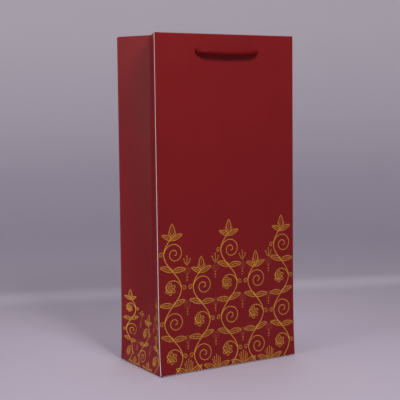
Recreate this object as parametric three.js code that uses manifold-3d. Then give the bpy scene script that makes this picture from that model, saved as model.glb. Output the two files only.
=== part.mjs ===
// A tall paper gift bag for two bottles of wine. One sheet of printed paper is creased into a front,
// a back and two gusseted sides, glued along a seam at the front left edge and closed by four base
// flaps under a base board. The mouth has a turned-in hem over a stiffening card, and each card and
// hem is punched for a cord handle that is knotted inside. Each face between two creases of the
// sheet is a piece of its own.
import * as THREE from 'three';
import { mergeVertices } from 'three/addons/utils/BufferGeometryUtils.js';
import Module from 'manifold-3d';

const wasm = await Module();
wasm.setup();

// Driving dimensions in millimetres. The origin is the centre of the base, +X runs along the width,
// the front faces -Y and +Z is up.
const WIDTH = 180;
const DEPTH = 96;
const HEIGHT = 370;
const PAPER = 0.4;
const CARD = 1.2;
const BOARD = 1.5;
const PLAY = 0.3;

// How far the front and back have come in from the base edge at a few heights: the creased sides
// draw them together in the first 90 mm, and they stay nearly upright above that.
const DRAWN_IN = [[0, 0], [45, 2.7], [90, 3.3], [HEIGHT, 4.35]];

// The side's centre crease starts at the tip of a flat foot triangle.
const FOOT_TIP = 82;
const GUSSET_HALF = DEPTH / 2;
const CREASE_CLEARANCE = 1.5;
const CORNER_CLEARANCE = 2;
const FOOT_CLEARANCE = 0.5;
const SIDE_START = 6;

const HEM = 38;
const CARD_HEIGHT = 34;
const CARD_TOP_INSET = 1.5;
const STACK_INSET = 8;
const GUSSET_HEM_INSET = 3;
const SEAM_FLAP = 16;
const SEAM_INSET = 4;

const LONG_FLAP = 66;
const END_FLAP = 60;
const FLAP_SLOPE = 14;
const FLAP_INSET = 0.8;
const BOARD_INSET = 1.1;

const CORD_RADIUS = 2.75;
const CORD_SIDES = 8;
const HOLE_RADIUS = 3;
const HOLE_SPACING = 75;
const HOLE_HEIGHT = 351;
const HOLE_SIDES = 24;

const KNOT_RADIUS = 7.5;
const KNOT_HEIGHT = 13;
const KNOT_TAIL = 9;

// Depth of each layer of the mouth behind the outer face of the front.
const SEAM_DEPTH = PAPER + PLAY;
const CARD_DEPTH = SEAM_DEPTH + PAPER + PLAY;
const HEM_DEPTH = CARD_DEPTH + CARD + PLAY;
const MOUTH_STACK = HEM_DEPTH + PAPER;

const printedPaper = new THREE.MeshStandardMaterial({ color: 0x76181c, roughness: 0.5, metalness: 0 });
const whitePaper = new THREE.MeshStandardMaterial({ color: 0xe6e2da, roughness: 0.85, metalness: 0 });
const greyCard = new THREE.MeshStandardMaterial({ color: 0xcfc9bd, roughness: 0.9, metalness: 0 });
const crimsonCord = new THREE.MeshStandardMaterial({ color: 0x7a1018, roughness: 0.6, metalness: 0 });

function drawnIn(z) {
  const k = DRAWN_IN.findIndex(([height]) => height >= z);
  if (k <= 0) return DRAWN_IN[0][1];
  const [z0, in0] = DRAWN_IN[k - 1];
  const [z1, in1] = DRAWN_IN[k];
  return in0 + ((in1 - in0) * (z - z0)) / (z1 - z0);
}

const halfDepth = (z) => DEPTH / 2 - drawnIn(z);

// The gusset half keeps its width, so the crease goes in as the front and back come together.
const creaseIn = (z) => Math.sqrt(GUSSET_HALF ** 2 - halfDepth(z) ** 2);

function piece(name, geometry, material) {
  const mesh = new THREE.Mesh(geometry, material);
  mesh.name = name;
  return mesh;
}

function solidOf(geometry) {
  const bare = geometry.clone();
  bare.deleteAttribute('normal');
  bare.deleteAttribute('uv');
  const merged = mergeVertices(bare, 1e-4);
  return new wasm.Manifold(new wasm.Mesh({
    numProp: 3,
    vertProperties: Float32Array.from(merged.attributes.position.array),
    triVerts: Uint32Array.from(merged.index.array),
  }));
}

function geometryOf(solid) {
  const mesh = solid.getMesh();
  const geometry = new THREE.BufferGeometry();
  geometry.setAttribute('position', new THREE.BufferAttribute(mesh.vertProperties, 3));
  geometry.setIndex(new THREE.BufferAttribute(mesh.triVerts, 1));
  geometry.computeVertexNormals();
  return geometry;
}

// Cuts the two round cord holes through a layer of the mouth.
function punched(geometry) {
  let solid = solidOf(geometry);
  for (const side of [-1, 1]) {
    const punch = new THREE.CylinderGeometry(HOLE_RADIUS, HOLE_RADIUS, DEPTH, HOLE_SIDES);
    punch.translate((side * HOLE_SPACING) / 2, -DEPTH / 2, HOLE_HEIGHT);
    solid = solid.subtract(solidOf(punch));
  }
  return geometryOf(solid);
}

// A layer of the front between two heights, lying a given depth behind its outer face.
function frontLayer(xLow, xHigh, zLow, zHigh, depth, thickness) {
  const bends = DRAWN_IN.map(([z]) => z).filter((z) => z > zLow && z < zHigh);
  const heights = [zLow, ...bends, zHigh];
  const outer = heights.map((z) => new THREE.Vector2(depth - halfDepth(z), z));
  const inner = outer.map((p) => new THREE.Vector2(p.x + thickness, p.y)).reverse();
  const section = new THREE.Shape([...inner, ...outer]);
  const geometry = new THREE.ExtrudeGeometry(section, { depth: xHigh - xLow, bevelEnabled: false });
  const alongX = new THREE.Vector3(1, 0, 0);
  const alongY = new THREE.Vector3(0, 1, 0);
  const alongZ = new THREE.Vector3(0, 0, 1);
  geometry.applyMatrix4(new THREE.Matrix4().makeBasis(alongY, alongZ, alongX));
  geometry.translate(xLow, 0, 0);
  return geometry;
}

// A creased sheet given by the corners of its outer side and the triangles between them, made solid
// by a second side set inwards from the first. depth is how far the outer side is set in.
function creasedSheet(corners, triangles, depth, thickness) {
  const normals = corners.map(() => new THREE.Vector3());
  for (const [a, b, c] of triangles) {
    const face = new THREE.Vector3().crossVectors(
      new THREE.Vector3().subVectors(corners[b], corners[a]),
      new THREE.Vector3().subVectors(corners[c], corners[a]),
    );
    for (const k of [a, b, c]) normals[k].add(face);
  }
  const setIn = (distance) => corners.map((p, k) =>
    p.clone().addScaledVector(normals[k].clone().normalize(), -distance));
  const outside = setIn(depth);
  const inside = setIn(depth + thickness);
  const count = corners.length;
  const index = [];
  const edges = new Map();
  for (const [a, b, c] of triangles) {
    index.push(a, b, c, a + count, c + count, b + count);
    for (const [from, to] of [[a, b], [b, c], [c, a]]) {
      if (edges.has(`${to},${from}`)) edges.delete(`${to},${from}`);
      else edges.set(`${from},${to}`, [from, to]);
    }
  }
  for (const [from, to] of edges.values()) {
    index.push(from, from + count, to + count, from, to + count, to);
  }
  const geometry = new THREE.BufferGeometry();
  geometry.setFromPoints([...outside, ...inside]);
  geometry.setIndex(index);
  geometry.computeVertexNormals();
  return geometry;
}

// A point of the left gusset's front half: along runs from the vertical edge (0) to the centre
// crease (1) at height z.
function gussetPoint(along, z) {
  const inwards = creaseIn(Math.max(z, FOOT_TIP));
  return new THREE.Vector3(-WIDTH / 2 + inwards * along, -halfDepth(z) * (1 - along), z);
}

// Half the width of the flat foot triangle at height z, and how far its face has come in there.
const footReach = (z) => (DEPTH / 2) * (1 - z / FOOT_TIP);
const footIn = (z) => (creaseIn(FOOT_TIP) * z) / FOOT_TIP;

const flipped = (triangles) => triangles.map(([a, b, c]) => [a, c, b]);

// Half of a side above its foot triangle, up to the mouth. The rear half is its mirror.
function gussetHalf(mirror) {
  const start = CORNER_CLEARANCE / GUSSET_HALF;
  const end = 1 - CREASE_CLEARANCE / GUSSET_HALF;
  const [, low, high, top] = DRAWN_IN.map(([z]) => z);
  const corners = [
    gussetPoint(start, SIDE_START).setX(-WIDTH / 2),
    new THREE.Vector3(-WIDTH / 2 + footIn(SIDE_START), -footReach(SIDE_START), SIDE_START),
    gussetPoint(end, FOOT_TIP),
    gussetPoint(end, top),
    gussetPoint(start, top),
    gussetPoint(start, high),
    gussetPoint(start, low),
  ];
  const triangles = [[0, 2, 1], [0, 6, 2], [6, 5, 2], [5, 3, 2], [5, 4, 3]];
  if (!mirror) return creasedSheet(corners, triangles, 0, PAPER);
  for (const p of corners) p.y = -p.y;
  return creasedSheet(corners, flipped(triangles), 0, PAPER);
}

// The flat triangle at the foot of a side, which leans in from the base edge to its tip.
function footTriangle() {
  const corners = [-1, 1].map((end) => {
    const reach = footReach(SIDE_START) - FOOT_CLEARANCE;
    return new THREE.Vector3(-WIDTH / 2 + footIn(SIDE_START), end * reach, SIDE_START);
  });
  const tip = FOOT_TIP - 2 * FOOT_CLEARANCE;
  corners.push(new THREE.Vector3(-WIDTH / 2 + footIn(tip), 0, tip));
  return creasedSheet(corners, [[0, 2, 1]], 0, PAPER);
}

// The gusset's part of the hem, folded down inside the gusset half.
function gussetHem(mirror) {
  const start = GUSSET_HEM_INSET / GUSSET_HALF;
  const end = 1 - CREASE_CLEARANCE / GUSSET_HALF;
  const top = HEIGHT - PLAY;
  const bottom = HEIGHT - HEM;
  const corners = [
    gussetPoint(start, bottom),
    gussetPoint(end, bottom),
    gussetPoint(end, top),
    gussetPoint(start, top),
  ];
  const triangles = [[0, 3, 1], [3, 2, 1]];
  if (!mirror) return creasedSheet(corners, triangles, SEAM_DEPTH, PAPER);
  for (const p of corners) p.y = -p.y;
  return creasedSheet(corners, flipped(triangles), SEAM_DEPTH, PAPER);
}

// A flat piece of the base with an outline seen from above.
function flatPiece(outline, zLow, thickness) {
  const shape = new THREE.Shape(outline.map(([x, y]) => new THREE.Vector2(x, y)));
  const geometry = new THREE.ExtrudeGeometry(shape, { depth: thickness, bevelEnabled: false });
  geometry.translate(0, 0, zLow);
  return geometry;
}

// A long flap under the front edge, with its corners cut back.
function longFlap(zLow) {
  const x = WIDTH / 2 - FLAP_INSET;
  const y = -DEPTH / 2 + FLAP_INSET;
  return flatPiece([[-x, y], [x, y], [x - FLAP_SLOPE, y + LONG_FLAP], [-x + FLAP_SLOPE, y + LONG_FLAP]],
    zLow, PAPER);
}

// The left end flap lies on the long flaps and turns up into the first few millimetres of the side.
function endFlap(zLow) {
  const x = -WIDTH / 2;
  const lip = SIDE_START - PLAY;
  const section = new THREE.Shape([
    new THREE.Vector2(x, lip),
    new THREE.Vector2(x, zLow),
    new THREE.Vector2(x + END_FLAP, zLow),
    new THREE.Vector2(x + END_FLAP, zLow + PAPER),
    new THREE.Vector2(x + PAPER, zLow + PAPER),
    new THREE.Vector2(x + PAPER, lip),
  ]);
  const length = DEPTH - 2 * BOARD_INSET;
  const geometry = new THREE.ExtrudeGeometry(section, { depth: length, bevelEnabled: false });
  geometry.rotateX(Math.PI / 2);
  geometry.translate(0, length / 2, 0);
  return geometry;
}

// A cord handle is pulled into the bag, so that outside only a shallow loop from hole to hole shows.
// Its route starts where it bends clear of the left hole: x along the width, y out of the outer
// face, z up from the hole.
const RUN_ROUTE = [
  [-37.1, 3, 0], [-35.5, 4.7, -0.2], [-33.2, 6.1, -0.4], [-30.2, 7.1, -0.7], [-26.6, 7.5, -0.9],
  [-21, 7.6, -1.2], [-14, 7.6, -1.5], [-7, 7.6, -1.7], [0, 7.6, -1.8],
  [7, 7.6, -1.7], [14, 7.6, -1.5], [21, 7.6, -1.2], [26.6, 7.5, -0.9],
  [30.2, 7.1, -0.7], [33.2, 6.1, -0.4], [35.5, 4.7, -0.2], [37.1, 3, 0],
];

// A tail hangs inside from its hole to its knot: x along the width, y into the bag, z up.
const TAIL_ROUTE = [
  [0, 0, 0], [0, 3, 0], [0, 6, -0.8], [0, 8.6, -2.5], [0, 10.5, -5], [0, 11.5, -8.2], [0, 11.8, -12],
  [0, 11.8, -20], [0, 11.7, -30], [0, 11.6, -42], [0, 11.5, -54], [0, 11.5, -66], [0, 11.5, -78],
  [0, 11.5, -90], [0, 11.5, -100],
];

const FACE_AT_HOLE = -halfDepth(HOLE_HEIGHT);

function cordTube(points, steps) {
  const circle = new THREE.Shape();
  for (let k = 0; k < CORD_SIDES; k += 1) {
    const turn = (2 * Math.PI * k) / CORD_SIDES;
    const x = CORD_RADIUS * Math.cos(turn);
    const y = CORD_RADIUS * Math.sin(turn);
    if (k === 0) circle.moveTo(x, y);
    else circle.lineTo(x, y);
  }
  const path = new THREE.CatmullRomCurve3(points);
  return new THREE.ExtrudeGeometry(circle, { steps, extrudePath: path, bevelEnabled: false });
}

function handleRun() {
  const points = RUN_ROUTE.map(([x, out, up]) =>
    new THREE.Vector3(x, FACE_AT_HOLE - out, HOLE_HEIGHT + up));
  return cordTube(points, 16);
}

// The stretch of cord gripped in a hole, flush with the outer face and with the hem.
function cordInHole(side) {
  const geometry = new THREE.CylinderGeometry(CORD_RADIUS, CORD_RADIUS, MOUTH_STACK, CORD_SIDES);
  geometry.translate((side * HOLE_SPACING) / 2, FACE_AT_HOLE + MOUTH_STACK / 2, HOLE_HEIGHT);
  return geometry;
}

const TAIL_START = FACE_AT_HOLE + MOUTH_STACK + PLAY;

function handleTail(side) {
  const points = TAIL_ROUTE.map(([x, inwards, up]) =>
    new THREE.Vector3((side * HOLE_SPACING) / 2 + x, TAIL_START + inwards, HOLE_HEIGHT + up));
  return cordTube(points, 16);
}

// The overhand knot and the cut end below it, as a plain turned body.
function knot(side) {
  const [, inwards, up] = TAIL_ROUTE[TAIL_ROUTE.length - 1];
  const half = KNOT_HEIGHT / 2;
  const profile = [
    [0, half], [KNOT_RADIUS * 0.55, half * 0.8], [KNOT_RADIUS * 0.9, half * 0.4], [KNOT_RADIUS, 0],
    [KNOT_RADIUS * 0.9, -half * 0.4], [KNOT_RADIUS * 0.6, -half * 0.8], [CORD_RADIUS, -half],
    [CORD_RADIUS, -half - KNOT_TAIL], [0, -half - KNOT_TAIL],
  ].reverse();
  const geometry = new THREE.LatheGeometry(profile.map(([r, z]) => new THREE.Vector2(r, z)), 12);
  geometry.rotateX(Math.PI / 2);
  geometry.translate((side * HOLE_SPACING) / 2, TAIL_START + inwards, HOLE_HEIGHT + up - PLAY - half);
  return geometry;
}

const bag = new THREE.Group();
const HALF_TURN = Math.PI;

// Front and back: panel, card, hem, handle run, tails and knots.
for (const face of ['front', 'back']) {
  const group = new THREE.Group();
  const halfWidth = WIDTH / 2;
  const stackEnd = halfWidth - STACK_INSET;
  const hemTop = HEIGHT - PLAY;
  const cardTop = HEIGHT - CARD_TOP_INSET;
  const panel = frontLayer(-halfWidth, halfWidth, 0, HEIGHT, 0, PAPER);
  const card = frontLayer(-stackEnd, stackEnd, cardTop - CARD_HEIGHT, cardTop, CARD_DEPTH, CARD);
  const hem = frontLayer(-stackEnd, stackEnd, HEIGHT - HEM, hemTop, HEM_DEPTH, PAPER);
  group.add(piece(`${face}_panel`, punched(panel), printedPaper));
  group.add(piece(`${face}_card`, punched(card), greyCard));
  group.add(piece(`${face}_hem`, punched(hem), printedPaper));
  group.add(piece(`${face}_handle_run`, handleRun(), crimsonCord));
  for (const [side, sign] of [['left', -1], ['right', 1]]) {
    const onThisSide = face === 'front' ? sign : -sign;
    group.add(piece(`${face}_${side}_cord_in_hole`, cordInHole(onThisSide), crimsonCord));
    group.add(piece(`${face}_${side}_tail`, handleTail(onThisSide), crimsonCord));
    group.add(piece(`${face}_${side}_knot`, knot(onThisSide), crimsonCord));
  }
  if (face === 'back') group.rotation.z = HALF_TURN;
  bag.add(group);
}

// The glued seam flap behind the front's left edge, where the two ends of the sheet meet.
const seamStart = -WIDTH / 2 + SEAM_INSET;
const seamTop = HEIGHT - HEM - PLAY;
const seam = frontLayer(seamStart, seamStart + SEAM_FLAP, SIDE_START, seamTop, SEAM_DEPTH, PAPER);
bag.add(piece('seam_flap', seam, whitePaper));

// The two gusseted sides. The right side is the left side turned half round, so its front half is
// the left side's rear half.
for (const side of ['left', 'right']) {
  const group = new THREE.Group();
  for (const mirror of [false, true]) {
    const half = (side === 'left') !== mirror ? 'front' : 'back';
    group.add(piece(`${side}_gusset_${half}`, gussetHalf(mirror), printedPaper));
    group.add(piece(`${side}_hem_${half}`, gussetHem(mirror), printedPaper));
  }
  group.add(piece(`${side}_foot`, footTriangle(), printedPaper));
  group.add(piece(`${side}_end_flap`, endFlap(2 * (PAPER + PLAY)), printedPaper));
  if (side === 'right') group.rotation.z = HALF_TURN;
  bag.add(group);
}

// The base, from the floor up: back flap, front flap, end flaps, base board.
const backFlap = piece('back_base_flap', longFlap(0), printedPaper);
backFlap.rotation.z = HALF_TURN;
bag.add(backFlap);
bag.add(piece('front_base_flap', longFlap(PAPER + PLAY), printedPaper));
const boardX = WIDTH / 2 - BOARD_INSET;
const boardY = DEPTH / 2 - BOARD_INSET;
const boardOutline = [[-boardX, -boardY], [boardX, -boardY], [boardX, boardY], [-boardX, boardY]];
bag.add(piece('base_board', flatPiece(boardOutline, 3 * (PAPER + PLAY), BOARD), greyCard));

export default bag;
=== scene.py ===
# A tall paper gift bag for two bottles of wine: crimson laminated paper printed in gold, creased
# into a front, a back and two gusseted sides, with a turned-in mouth over a card and cord handles.
import math
import random

import bmesh
import bpy
from mathutils import Matrix, Vector


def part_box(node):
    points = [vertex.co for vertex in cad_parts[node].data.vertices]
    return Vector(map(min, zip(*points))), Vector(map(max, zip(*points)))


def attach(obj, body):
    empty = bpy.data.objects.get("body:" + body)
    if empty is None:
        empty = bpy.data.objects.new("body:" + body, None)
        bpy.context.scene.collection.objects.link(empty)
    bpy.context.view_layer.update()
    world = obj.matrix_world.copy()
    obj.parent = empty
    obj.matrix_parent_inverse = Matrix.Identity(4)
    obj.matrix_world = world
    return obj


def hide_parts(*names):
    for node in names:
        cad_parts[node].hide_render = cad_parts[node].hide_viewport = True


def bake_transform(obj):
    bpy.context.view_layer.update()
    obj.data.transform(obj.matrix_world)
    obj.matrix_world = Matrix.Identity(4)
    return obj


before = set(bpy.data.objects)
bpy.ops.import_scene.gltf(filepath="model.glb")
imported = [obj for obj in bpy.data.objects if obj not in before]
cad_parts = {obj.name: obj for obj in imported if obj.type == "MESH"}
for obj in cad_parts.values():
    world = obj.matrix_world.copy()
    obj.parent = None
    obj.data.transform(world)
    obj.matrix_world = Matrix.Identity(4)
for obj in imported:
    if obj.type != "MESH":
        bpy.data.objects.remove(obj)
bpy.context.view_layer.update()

# The bag's own sizes, taken from its CAD pieces: all the sections below are fitted to them.
panel_low, panel_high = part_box("front_panel")
base_low, base_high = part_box("back_panel")
half_width = panel_high.x
half_base_depth = -panel_low.y
bag_height = panel_high.z


# The camera: a short telephoto at chest height to the bag, standing to its left.
camera_data = bpy.data.cameras.new("camera")
camera_data.lens = 89.326
camera_data.sensor_width = 36.0
camera_data.clip_end = 20.0
camera = bpy.data.objects.new("camera", camera_data)
bpy.context.scene.collection.objects.link(camera)
yaw = math.radians(31.1645)
pitch = math.radians(5.6529)
roll = math.radians(-0.5855)
forward = Vector((math.sin(yaw) * math.cos(pitch), math.cos(yaw) * math.cos(pitch), -math.sin(pitch)))
level_right = Vector((math.cos(yaw), -math.sin(yaw), 0.0))
level_up = level_right.cross(forward)
camera_right = math.cos(roll) * level_right + math.sin(roll) * level_up
camera_up = -math.sin(roll) * level_right + math.cos(roll) * level_up
camera_turn = Matrix((camera_right, camera_up, -forward)).transposed()
camera.matrix_world = Matrix.Translation((-0.59465, -0.96777, 0.29669)) @ camera_turn.to_4x4()
bpy.context.scene.camera = camera


# The handles: each is one smooth crimson rayon cord, 5.5 mm thick, pushed through two punched holes
# and knotted inside. Outside it makes a shallow loop from hole to hole, and its tails hang inside.
cord_radius = 0.00275
hole_x = 0.0375
hole_z = 0.351
face_at_hole = 0.04372
tail_start = 0.04012
hole_pivot = 0.04672

run_route = [
    (-37.1, 3, 0), (-35.5, 4.7, -0.2), (-33.2, 6.1, -0.4), (-30.2, 7.1, -0.7), (-26.6, 7.5, -0.9),
    (-21, 7.6, -1.2), (-14, 7.6, -1.5), (-7, 7.6, -1.7), (0, 7.6, -1.8),
    (7, 7.6, -1.7), (14, 7.6, -1.5), (21, 7.6, -1.2), (26.6, 7.5, -0.9),
    (30.2, 7.1, -0.7), (33.2, 6.1, -0.4), (35.5, 4.7, -0.2), (37.1, 3, 0),
]
tail_route = [
    (0, 0, 0), (0, 3, 0), (0, 6, -0.8), (0, 8.6, -2.5), (0, 10.5, -5), (0, 11.5, -8.2), (0, 11.8, -12),
    (0, 11.8, -20), (0, 11.7, -30), (0, 11.6, -42), (0, 11.5, -54), (0, 11.5, -66), (0, 11.5, -78),
    (0, 11.5, -90), (0, 11.5, -100),
]


def smooth_route(points, step):
    """Points close together on one smooth curve through the given ones."""
    route = []
    last = len(points) - 1
    for k in range(last):
        before, start, end, after = (points[max(0, min(last, k + j))] for j in (-1, 0, 1, 2))
        count = max(2, int((end - start).length / step + 0.5))
        for j in range(count):
            t = j / count
            route.append(0.5 * (2 * start + (end - before) * t
                                + (2 * before - 5 * start + 4 * end - after) * t * t
                                + (3 * start - before - 3 * end + after) * t * t * t))
    route.append(points[last])
    return route


def add_piece(name, mesh):
    """A new piece of the bag holding this mesh."""
    piece = bpy.data.objects.new(name, mesh)
    bpy.context.scene.collection.objects.link(piece)
    return piece


def braided_cord(name, route, round_start=True, round_end=True):
    """A mesh cord along a route: eight plaited strands show as low ridges that cross each other."""
    around = 32
    strand_height = 0.00013
    lay_length = 0.0115
    mesh = bmesh.new()
    travelled = 0.0
    side = Vector((0.0, 0.0, 1.0))
    rings = []
    # Each vertex keeps how high it stands on a ridge; the cord material paints shade into the grooves from it.
    strands = mesh.verts.layers.float.new("strand")
    for k, point in enumerate(route):
        along = (route[min(k + 1, len(route) - 1)] - route[max(k - 1, 0)]).normalized()
        if k == 0 and abs(along.z) > 0.9:
            side = Vector((1.0, 0.0, 0.0))
        side = (side - along * side.dot(along)).normalized()
        other = along.cross(side)
        if k:
            travelled += (point - route[k - 1]).length
        ring_verts = []
        for j in range(around):
            turn = 2 * math.pi * j / around
            winding = 2 * math.pi * travelled / lay_length
            ridge = max(abs(math.sin(2 * (turn + winding))), abs(math.sin(2 * (turn - winding)))) ** 0.6
            reach = cord_radius + strand_height * (ridge - 1.0)
            vert = mesh.verts.new(point + reach * (math.cos(turn) * side + math.sin(turn) * other))
            vert[strands] = ridge
            ring_verts.append(vert)
        rings.append((ring_verts, point, along))
    for (low, _, _), (high, _, _) in zip(rings, rings[1:]):
        for j in range(around):
            mesh.faces.new((low[j], low[(j + 1) % around], high[(j + 1) % around], high[j]))
    for (ring_verts, point, along), is_round, outward in (
        (rings[0], round_start, -1), (rings[-1], round_end, 1),
    ):
        cap = ring_verts
        if is_round:
            for lean in (30, 60):
                tilt = math.radians(lean)
                smaller = []
                for vert, first in zip(cap, ring_verts):
                    spoke = first.co - point
                    place = point + spoke * math.cos(tilt) + along * outward * cord_radius * math.sin(tilt)
                    new = mesh.verts.new(place)
                    new[strands] = first[strands]
                    smaller.append(new)
                for j in range(around):
                    quad = (cap[j], cap[(j + 1) % around], smaller[(j + 1) % around], smaller[j])
                    mesh.faces.new(quad if outward > 0 else tuple(reversed(quad)))
                cap = smaller
        tip = mesh.verts.new(point + along * outward * (cord_radius if is_round else 0.0003))
        tip[strands] = 1.0
        for j in range(around):
            fan = (cap[j], cap[(j + 1) % around], tip)
            mesh.faces.new(fan if outward > 0 else tuple(reversed(fan)))
    data = bpy.data.meshes.new(name)
    mesh.to_mesh(data)
    mesh.free()
    data.polygons.foreach_set("use_smooth", [True] * len(data.polygons))
    return add_piece(name, data)


def shader_nodes(material):
    """The material's nodes, links and Principled shader."""
    material.use_nodes = True
    nodes = material.node_tree.nodes
    return nodes, material.node_tree.links, nodes["Principled BSDF"]


def sheen_cord_material():
    """Crimson rayon: smooth satin strands, with painted shade darkening the grooves between them."""
    material = bpy.data.materials.new("crimson_cord")
    nodes, links, shader = shader_nodes(material)
    strand = nodes.new("ShaderNodeAttribute")
    strand.attribute_name = "strand"
    place = nodes.new("ShaderNodeTexCoord")
    mottle = nodes.new("ShaderNodeTexNoise")
    mottle.inputs["Scale"].default_value = 900.0
    mottle.inputs["Detail"].default_value = 4.0
    # Painted shade: the grooves between strands are painted much darker than the ridges.
    colour = nodes.new("ShaderNodeValToRGB")
    colour.color_ramp.elements[0].position = 0.35
    colour.color_ramp.elements[0].color = (0.045, 0.0008, 0.0016, 1)
    colour.color_ramp.elements[1].position = 0.95
    colour.color_ramp.elements[1].color = (0.19, 0.0022, 0.0052, 1)
    tint = nodes.new("ShaderNodeMix")
    tint.data_type = "RGBA"
    tint.blend_type = "MULTIPLY"
    tint.inputs["Factor"].default_value = 0.35
    fibre = nodes.new("ShaderNodeBump")
    fibre.inputs["Strength"].default_value = 0.25
    fibre.inputs["Distance"].default_value = 0.0001
    links.new(place.outputs["Object"], mottle.inputs["Vector"])
    links.new(strand.outputs["Fac"], colour.inputs["Fac"])
    links.new(colour.outputs["Color"], tint.inputs["A"])
    links.new(mottle.outputs["Color"], tint.inputs["B"])
    links.new(tint.outputs["Result"], shader.inputs["Base Color"])
    links.new(mottle.outputs["Fac"], fibre.inputs["Height"])
    links.new(fibre.outputs["Normal"], shader.inputs["Normal"])
    shader.inputs["Roughness"].default_value = 0.5
    shader.inputs["Specular IOR Level"].default_value = 0.1
    return material


cord_material = sheen_cord_material()


def finish_piece(piece, material):
    """Gives a piece its material."""
    piece.data.materials.clear()
    piece.data.materials.append(material)
    return piece


def overhand_knot(name, centre, facing):
    """The overhand knot at a tail's end: the cord wraps once round itself, and a short end shows."""
    tightness = 0.0042
    height = 0.0048
    points = []
    for k in range(49):
        t = 2 * math.pi * (k / 48)
        lobe = tightness * (1.0 + 0.42 * math.cos(1.5 * t))
        points.append(centre + Vector((
            lobe * math.sin(t),
            facing * lobe * 0.72 * math.cos(t),
            height * math.cos(1.5 * t) * 0.62,
        )))
    drawn = [centre + Vector((0.0, 0.0, 0.0065))] + points[2:-2] + [
        centre + Vector((0.0, 0.0, -0.0062)),
        centre + Vector((0.0004, 0.0, -0.0105)),
        centre + Vector((0.0010, 0.0, -0.0150)),
    ]
    return braided_cord(name, smooth_route(drawn, 0.0006), True, False)


for face, facing in (("front", -1), ("back", 1)):
    out = [Vector((facing * -x / 1000, facing * (face_at_hole + y / 1000), hole_z + z / 1000))
           for x, y, z in run_route]
    route = smooth_route(out, 0.0006)
    run = finish_piece(braided_cord(face + "_handle", route), cord_material)
    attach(run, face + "_handle")
    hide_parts(face + "_handle_run")
    for side, sign in (("left", -1), ("right", 1)):
        body = f"{face}_{side}_cord"
        inside = [Vector((sign * hole_x + x / 1000, facing * (tail_start - y / 1000), hole_z + z / 1000))
                  for x, y, z in tail_route]
        route = smooth_route(inside, 0.0006)
        knot_low, knot_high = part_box(f"{face}_{side}_knot")
        knot_centre = (knot_low + knot_high) / 2
        knot_centre.z = knot_high.z - 0.0065
        knot = finish_piece(overhand_knot(f"{face}_{side}_cord_knot", knot_centre, facing),
                            cord_material)
        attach(knot, body)
        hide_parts(f"{face}_{side}_knot")
        tail = finish_piece(braided_cord(f"{face}_{side}_cord", route), cord_material)
        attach(tail, body)
        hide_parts(f"{face}_{side}_tail")
        through = [Vector((sign * hole_x, facing * reach, hole_z))
                   for reach in (hole_pivot - 0.0006, face_at_hole, tail_start + 0.0004)]
        stub = braided_cord(f"{face}_{side}_cord_through_hole", smooth_route(through, 0.0006))
        finish_piece(stub, cord_material)
        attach(stub, face)
        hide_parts(f"{face}_{side}_cord_in_hole")


# The studio: a pale lilac-grey sweep of paper all round, one broad soft light above and a weaker
# one to the left, as for a plain product picture.
def studio_sweep():
    """A round backdrop: a flat floor that curves up into a wall all the way round."""
    floor_radius = 1.15
    bend_radius = 1.1
    wall_height = 3.4
    profile = [(0.0, 0.0), (0.5, 0.0), (floor_radius, 0.0)]
    for k in range(1, 17):
        turn = math.pi / 2 * k / 16
        profile.append((floor_radius + bend_radius * math.sin(turn), bend_radius * (1 - math.cos(turn))))
    profile.append((floor_radius + bend_radius, wall_height))
    around = 96
    mesh = bmesh.new()
    middle = mesh.verts.new((0.0, 0.0, 0.0))
    rings = []
    for reach, height in profile[1:]:
        rings.append([mesh.verts.new((reach * math.cos(2 * math.pi * k / around),
                                      reach * math.sin(2 * math.pi * k / around), height))
                      for k in range(around)])
    for k in range(around):
        mesh.faces.new((middle, rings[0][k], rings[0][(k + 1) % around]))
    for low, high in zip(rings, rings[1:]):
        for k in range(around):
            mesh.faces.new((low[k], high[k], high[(k + 1) % around], low[(k + 1) % around]))
    data = bpy.data.meshes.new("studio_sweep")
    mesh.to_mesh(data)
    mesh.free()
    data.polygons.foreach_set("use_smooth", [True] * len(data.polygons))
    return add_piece("studio_sweep", data)


def soft_light(name, place, aim, size, power, colour):
    data = bpy.data.lights.new(name, "AREA")
    data.shape = "RECTANGLE"
    data.size = size[0]
    data.size_y = size[1]
    data.energy = power
    data.color = colour
    light = bpy.data.objects.new(name, data)
    bpy.context.scene.collection.objects.link(light)
    light.location = place
    light.rotation_euler = (Vector(aim) - Vector(place)).to_track_quat("-Z", "Y").to_euler()
    return light


# Where the painted highlight band across the floor lies, and its half-width.
painted_fold_line = 0.412
painted_fold_reach = 0.075


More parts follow.
